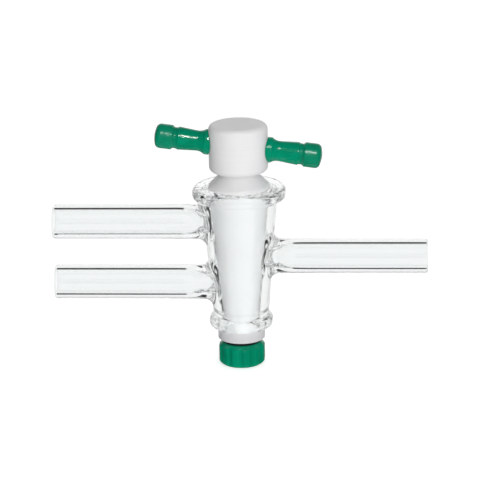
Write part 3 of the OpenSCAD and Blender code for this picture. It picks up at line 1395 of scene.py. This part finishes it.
@dataclass
class Softbox:
    """A soft lamp that faces the part and shows in its gloss only if it is for glints."""

    name: str
    azimuth: float
    elevation: float
    distance: float
    width: float
    height: float
    power: float
    glints: bool = False

    def build(self, aim: Vector) -> bpy.types.Object:
        """Hangs the lamp.

        Args:
            aim: The point that it faces.

        Returns:
            The lamp.
        """
        data = bpy.data.lights.new(self.name, "AREA")
        data.shape = "RECTANGLE"
        data.size, data.size_y, data.energy = self.width, self.height, self.power
        lamp = placed(self.name, data)
        way = direction(self.azimuth, self.elevation)
        lamp.location = aim + way * self.distance
        lamp.rotation_euler = way.to_track_quat("Z", "Y").to_euler()
        lamp.visible_glossy = self.glints
        lamp.visible_diffuse = not self.glints
        lamp.visible_transmission = False
        return lamp


class Axis(Enum):
    """The three parts of a direction from the object."""

    ACROSS = 0
    BEHIND = 1
    UP = 2


@dataclass
class Surroundings:
    """The world: white when seen directly, and soft light for everything that isn't glass.

    Glass shows dark bands above and below it and dark cards beside it, which draw its edges.
    What gloss mirrors is dark, apart from the white straight behind the part.
    """

    canvas: Canvas
    ambient: float = 0.94
    inside: float = 0.76

    def __post_init__(self) -> None:
        """Splits the direction into its parts."""
        way = self.canvas.put("TexCoord").outputs["Generated"]
        self.way = self.canvas.put("SeparateXYZ", {0: way}).outputs

    def grey(self, part: Axis, *stops: tuple[float, float]) -> Socket:
        """Makes a grey that changes with direction.

        Args:
            part: The part of the direction that it changes with.
            stops: Rising pairs of that part, -1 to 1, and a grey.

        Returns:
            The grey as a colour.
        """
        share = self.canvas.maths("MULTIPLY_ADD", self.way[part.value], 0.5, 0.5)
        node = self.canvas.put("ValToRGB", {0: share})
        band = node.color_ramp
        while len(band.elements) < len(stops):
            band.elements.new(0.5)
        for element, (place, grey) in zip(band.elements, stops):
            element.position = place / 2 + 0.5
            element.color = (grey, grey, grey, 1)
        return node.outputs[0]

    def through(self) -> Socket:
        """Makes what glass shows: white with dark bands and cards.

        Returns:
            The colour in each direction.
        """
        across, behind, up = Axis
        cards = (
            # band below
            (self.grey(up, (-1, 0), (-0.98, 0), (-0.967, 1), (-0.865, 1), (-0.85, 0)),
             self.grey(across, (-1, 0.2), (-0.21, 0.2), (-0.16, 1), (0.03, 1), (0.06, 0.12))),
            # band above
            (self.grey(up, (0.31, 0), (0.34, 1), (0.66, 1), (0.7, 0)),
             self.grey(across, (-0.2, 0.12), (-0.16, 1), (0.022, 1), (0.04, 0.12))),
            # walls far to both sides
            (self.grey(across, (-1, 1), (-0.82, 1), (-0.73, 0), (0.73, 0), (0.82, 1)),
             self.grey(up, (-1, 0), (-0.53, 0), (-0.47, 0.94), (0.25, 0.94), (0.32, 0))),
            # low cards on both sides
            (self.grey(across, (-0.8, 0), (-0.74, 1), (-0.58, 1), (-0.5, 0), (0.45, 0), (0.54, 1),
                       (0.82, 1), (0.9, 0)),
             self.grey(up, (-0.84, 0), (-0.78, 0.5), (-0.62, 0.5), (-0.57, 0))),
            # high card on the right
            (self.grey(across, (0.44, 0), (0.5, 1), (0.68, 1), (0.74, 0)),
             self.grey(up, (0.64, 0), (0.67, 0.9), (0.76, 0.9), (0.8, 0))),
            # low card behind
            (self.grey(behind, (0.15, 0), (0.22, 1), (0.44, 1), (0.5, 0)),
             self.grey(up, (-0.58, 0), (-0.53, 0.35), (-0.36, 0.35), (-0.3, 0))),
        )
        dark = 0.0
        for first, second in cards:
            card = self.canvas.maths("MULTIPLY", first, second)
            dark = self.canvas.maths("MAXIMUM", dark, card)
        return self.canvas.blend(dark, WHITE, BLACK)

    def soft(self) -> Socket:
        """Makes the light on everything: least from the left, the horizon and the zenith.

        Returns:
            The grey in each direction.
        """
        across, up = Axis.ACROSS, Axis.UP
        canvas = self.canvas
        level = self.grey(across, (-1, 0.02), (-0.5, 0.2), (0, 0.72), (0.5, 0.56), (1, 0.12))
        over = self.grey(across, (-1, 0.2), (-0.6, 0.7), (-0.3, 1.15), (0.6, 1.05), (1, 0.3))
        under = self.grey(across, (-1, 0.2), (-0.5, 1.1), (0.5, 1.3), (1, 0.3))
        soft = canvas.blend(self.grey(up, (0.05, 0), (0.3, 1)), level, over)
        soft = canvas.blend(self.grey(up, (-0.6, 1), (-0.2, 0)), soft, under)
        high = self.grey(up, (0.5, 1), (0.8, 0.48), (1, 0.33))
        return canvas.maths("MULTIPLY", canvas.maths("MULTIPLY", soft, high), self.ambient)

    def build(self) -> None:
        """Mixes the world by the kind of ray that meets it."""
        canvas = self.canvas
        path = canvas.put("LightPath").outputs
        # what the plug gets through the glass: more from the right
        within = self.grey(Axis.ACROSS, (-1, 0.9), (0, 1), (1, 1.25))
        lit = canvas.maths("GREATER_THAN", path["Diffuse Depth"], 0.5)
        through = canvas.blend(lit, self.through(), canvas.maths("MULTIPLY", within, self.inside))
        mirrored = self.grey(Axis.BEHIND, (-0.2, 0.01), (0.72, 0.04), (0.92, 1))
        seen = canvas.blend(path["Is Transmission Ray"], mirrored, through)
        seen = canvas.blend(path["Is Camera Ray"], seen, WHITE)
        share = canvas.maths("MAXIMUM", path["Is Camera Ray"], canvas.maths(
            "MAXIMUM", path["Is Glossy Ray"], path["Is Transmission Ray"]))
        colour = canvas.blend(share, self.soft(), seen)
        back = canvas.put("Background", {"Color": colour, "Strength": 1.0})
        canvas.put("OutputWorld", {"Surface": back.outputs[0]})


@dataclass
class Studio:
    """The world, a pale floor that only keeps the part's shadow, and two soft lamps."""

    floor_size: float = 8.0
    bounces: int = 32
    glossy_bounces: int = 16
    lamps: tuple[Softbox, ...] = (
        Softbox("front_softbox", 14, 12, 0.9, 0.5, 0.2, 3.0),
        Softbox("glint_lamp", 12, 42, 0.8, 0.05, 0.09, 3.2, glints=True),
    )

    def world(self) -> None:
        """Makes the world."""
        world = bpy.data.worlds.new("studio")
        bpy.context.scene.world = world
        world.use_nodes = True
        Surroundings(Canvas(world.node_tree)).build()

    def floor(self, z: float) -> bpy.types.Object:
        """Lays the pale floor under the part.

        Args:
            z: The floor's height.

        Returns:
            The floor.
        """
        half = self.floor_size / 2
        data = bpy.data.meshes.new("studio_floor")
        corners = [(-half, -half, z), (half, -half, z), (half, half, z), (-half, half, z)]
        data.from_pydata(corners, [], [(0, 1, 2, 3)])
        data.materials.append(PaleFloor().material())
        floor = placed("studio_floor", data)
        for ray in ("transmission", "glossy", "diffuse", "shadow"):
            setattr(floor, "visible_" + ray, False)
        return floor

    def build(self, low: Vector, high: Vector) -> None:
        """Sets up the whole studio.

        Args:
            low: Lowest corner of the part.
            high: Highest corner of the part.
        """
        self.world()
        self.floor(low.z)
        for lamp in self.lamps:
            lamp.build((low + high) / 2)
        scene = bpy.context.scene
        scene.view_settings.view_transform = "Standard"
        scene.cycles.max_bounces = scene.cycles.transmission_bounces = self.bounces
        scene.cycles.glossy_bounces = self.glossy_bounces


@dataclass
class Viewpoint:
    """The camera's place and lens."""

    azimuth: float = 3.5
    elevation: float = 17.8
    distance: float = 0.55
    lens: float = 175.3
    sensor: float = 36.0
    roll: float = -1.1
    aim_z: float = 0.0304

    def build(self) -> bpy.types.Object:
        """Sets up the camera and makes it the scene's.

        Returns:
            The camera.
        """
        data = bpy.data.cameras.new("camera")
        data.lens, data.sensor_width, data.clip_start = self.lens, self.sensor, 0.01
        camera = placed("camera", data)
        way = direction(self.azimuth, self.elevation)
        camera.location = Vector((0, 0, self.aim_z)) + way * self.distance
        camera.rotation_mode = "QUATERNION"
        tilt = Quaternion((0, 0, 1), math.radians(self.roll))
        camera.rotation_quaternion = way.to_track_quat("Z", "Y") @ tilt
        bpy.context.scene.camera = camera
        return camera


def main() -> None:
    """Builds the part, piece by piece, and the studio round it."""
    logging.basicConfig(level=logging.INFO, format="%(name)s: %(message)s")
    Viewpoint().build()
    glass = FusedGlass.from_frame()
    handle = BarHandle.from_frame()
    glass.build(ClearGlass())
    Plug.from_frame(glass, handle).build(TurnedPtfe())
    handle.build(MouldedGreen())
    # the washer is the plug's white plastic made darker grey: partly its own greyer tone, partly
    # painted shade from under the glass foot
    grey = (0.66, 0.655, 0.665)
    washer = TurnedPtfe(name="washer_ptfe", white=grey, tone_and_shade=grey)
    TailStack.from_frame().build(washer, BlackRubber(), MouldedGreen())
    Studio().build(*(Vector(corner) for corner in CAD_BOX))


if __name__ == "__main__":
    main()
